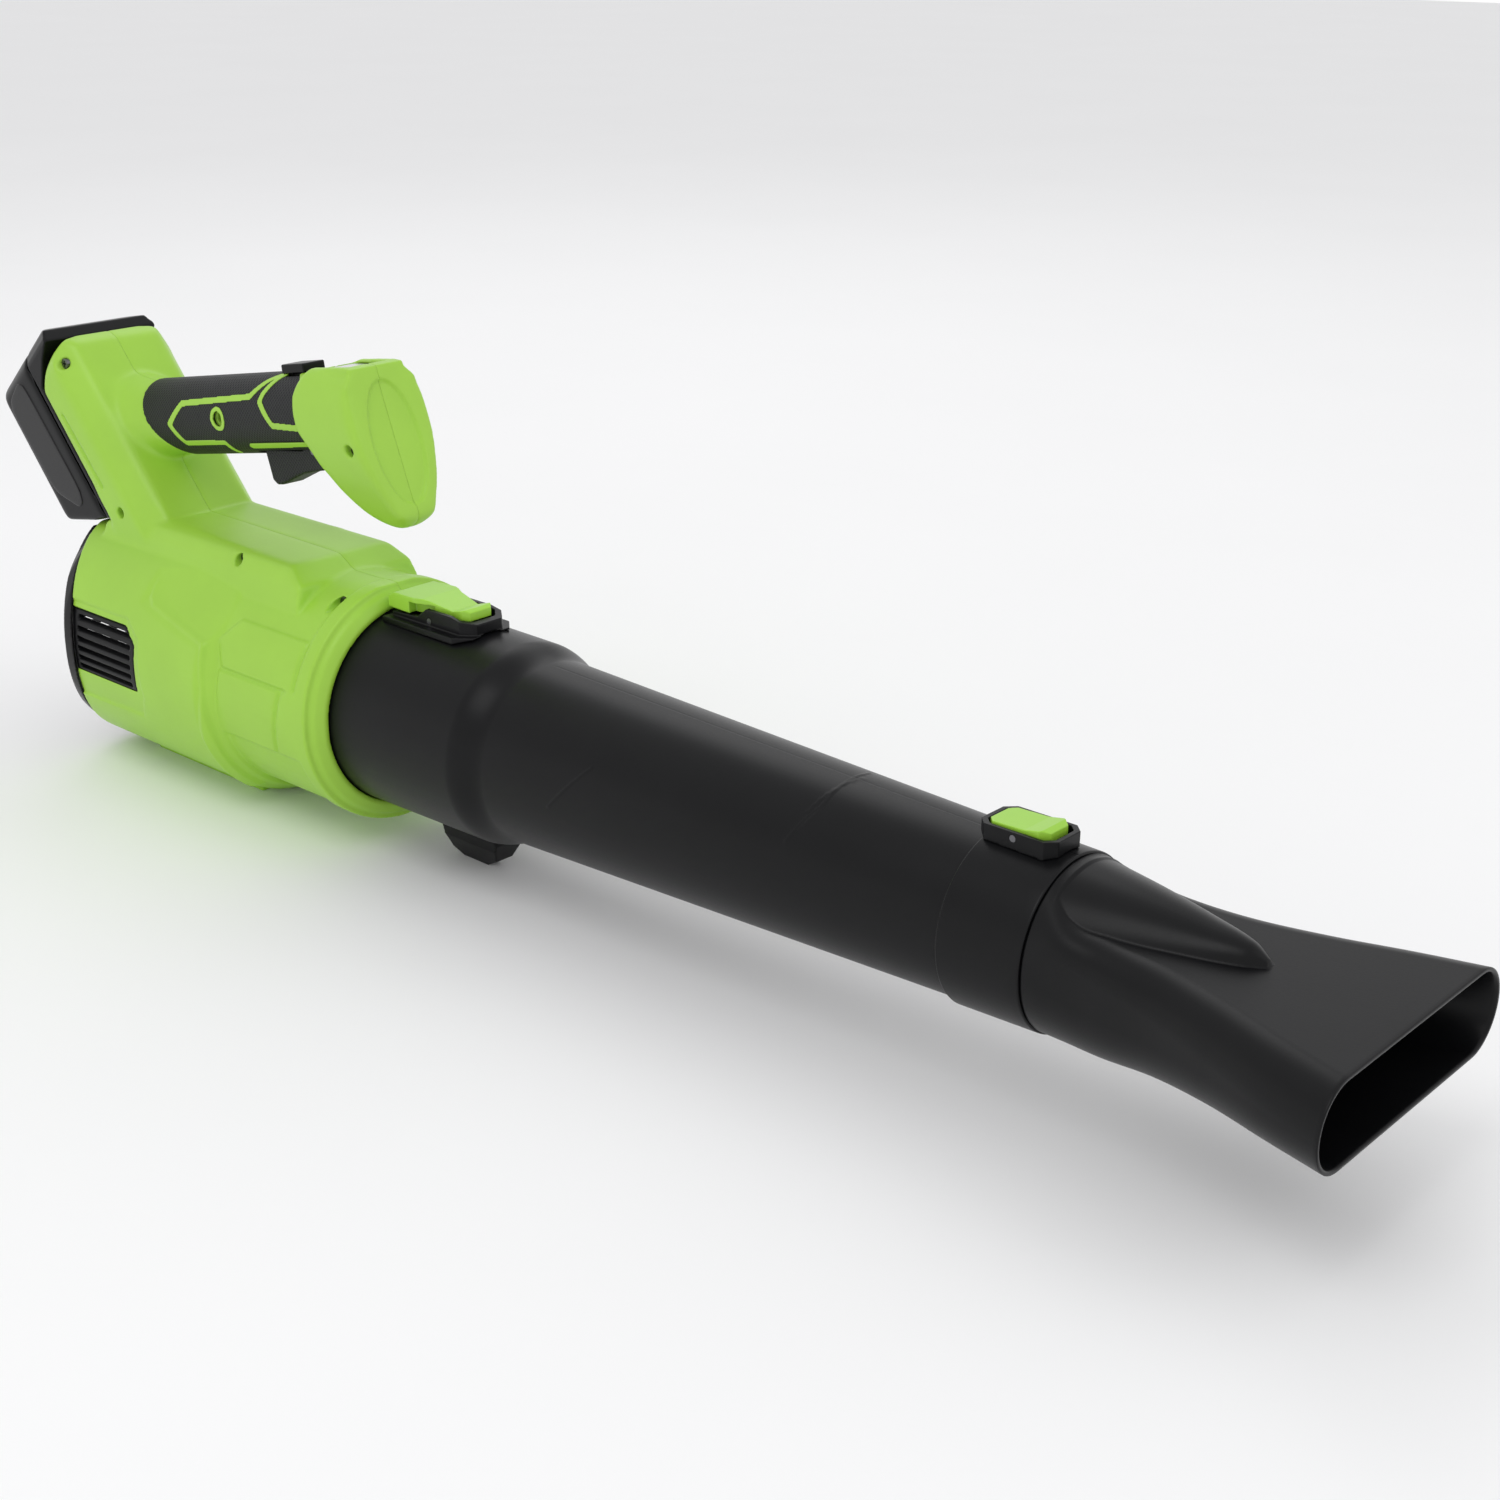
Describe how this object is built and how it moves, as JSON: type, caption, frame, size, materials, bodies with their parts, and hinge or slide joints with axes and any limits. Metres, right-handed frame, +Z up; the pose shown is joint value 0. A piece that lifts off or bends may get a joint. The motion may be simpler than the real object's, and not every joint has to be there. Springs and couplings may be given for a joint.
{
  "type": "leaf blower",
  "caption": "Cordless axial leaf blower: drum housing with a leaning battery mast, looped top grip with trigger, slide-on battery, long tapered tube and flat fishtail nozzle.",
  "frame": {"origin": "centre of the flat pad under the housing, on the floor", "axes": "+X towards the nozzle along the air path, +Z up, mirror plane Y = 0"},
  "size_m": [0.876, 0.144, 0.249],
  "materials": {
    "green_shell": "semi-matt moulded lime green plastic",
    "green_button": "semi-matt moulded lime green plastic",
    "black_plastic": "satin black moulded plastic",
    "tube_plastic": "satin black blow-moulded plastic",
    "grip_rubber": "soft textured overmould",
    "seal_rubber": "smooth rubber ring",
    "display_window": "glossy grey display window",
    "circuit_board": "solder-masked board",
    "switch_plastic": "plain moulded plastic",
    "duct_plastic": "glass-filled moulded plastic",
    "steel": "plain steel",
    "copper": "plated contact metal",
    "lead_rubber": "insulated leads"
  },
  "bodies": {
    "housing": {"right_housing_shell": "green_shell", "left_housing_shell": "green_shell", "intake_grille": "black_plastic", "right_louvre": "black_plastic", "left_louvre": "black_plastic", "right_grip_cover": "grip_rubber", "left_grip_cover": "grip_rubber", "display_lens": "display_window", "display_board": "circuit_board", "speed_switch": "switch_plastic", "thumb_switch": "switch_plastic", "trigger_pin": "steel", "trigger_spring": "steel", "thumb_spring": "steel", "battery_receiver": "black_plastic", "terminal_blades": "copper", "fan_duct": "duct_plastic", "motor_stator": "steel", "rear_bearing": "steel", "front_bearing": "steel", "tail_cone": "black_plastic", "controller_board": "circuit_board", "wiring": "lead_rubber", "case_screws": "steel"},
    "fan": {"impeller": "duct_plastic", "fan_nut": "steel", "motor_shaft": "steel", "motor_rotor": "steel"},
    "trigger": {"trigger": "black_plastic"},
    "thumb_button": {"thumb_button": "black_plastic"},
    "battery": {"battery_base_case": "black_plastic", "battery_cover_case": "black_plastic", "battery_cells": "steel", "cell_holder": "duct_plastic", "battery_board": "circuit_board", "battery_contacts": "copper", "battery_screws": "steel", "release_spring": "steel"},
    "release_button": {"release_button": "green_button"},
    "tube": {"blower_tube": "tube_plastic", "tube_foot": "tube_plastic", "rear_latch_carrier": "black_plastic", "rear_latch_pin": "steel", "rear_latch_spring": "steel", "front_latch_carrier": "black_plastic", "front_latch_pin": "steel", "front_latch_spring": "steel"},
    "rear_latch": {"rear_latch_lever": "green_button"},
    "front_latch": {"front_latch_rocker": "green_button"},
    "nozzle": {"nozzle": "tube_plastic", "nozzle_seal": "seal_rubber"}
  },
  "joints": [
    {"name": "fan_spin", "type": "hinge", "parent": "housing", "child": "fan", "pos_m": [0.06, 0, 0.074], "axis": [1, 0, 0], "continuous": true},
    {"name": "trigger_pull", "type": "hinge", "parent": "housing", "child": "trigger", "pos_m": [0.101, 0, 0.1995], "axis": [0, 1, 0], "range_deg": [0, 9], "stiffness_Nm_per_rad": 0.12, "springref_deg": -14.32, "deforming": ["trigger_spring"]},
    {"name": "thumb_button_press", "type": "slide", "parent": "housing", "child": "thumb_button", "axis": [0.1754, 0, -0.9845], "range_m": [0, 0.0025], "stiffness_N_per_m": 300, "springref_m": -0.004, "deforming": ["thumb_spring"]},
    {"name": "battery_slide", "type": "slide", "parent": "housing", "child": "battery", "axis": [-0.6613, 0, 0.7501], "range_m": [0, 0.1]},
    {"name": "release_press", "type": "slide", "parent": "battery", "child": "release_button", "axis": [0.6613, 0, -0.7501], "range_m": [0, 0.0025], "stiffness_N_per_m": 400, "springref_m": -0.004, "deforming": ["release_spring"]},
    {"name": "tube_slide", "type": "slide", "parent": "housing", "child": "tube", "axis": [1, 0, 0], "range_m": [0, 0.06]},
    {"name": "nozzle_slide", "type": "slide", "parent": "tube", "child": "nozzle", "axis": [1, 0, 0], "range_m": [0, 0.04]},
    {"name": "rear_latch_press", "type": "hinge", "parent": "tube", "child": "rear_latch", "pos_m": [0.191, 0, 0.1292], "axis": [0, 1, 0], "range_deg": [0, 7], "stiffness_Nm_per_rad": 0.15, "springref_deg": -14.32, "deforming": ["rear_latch_spring"]},
    {"name": "front_latch_press", "type": "hinge", "parent": "tube", "child": "front_latch", "pos_m": [0.5455, 0, 0.1168], "axis": [0, 1, 0], "range_deg": [0, 5], "stiffness_Nm_per_rad": 0.08, "springref_deg": -14.32, "deforming": ["front_latch_spring"]}
  ]
}
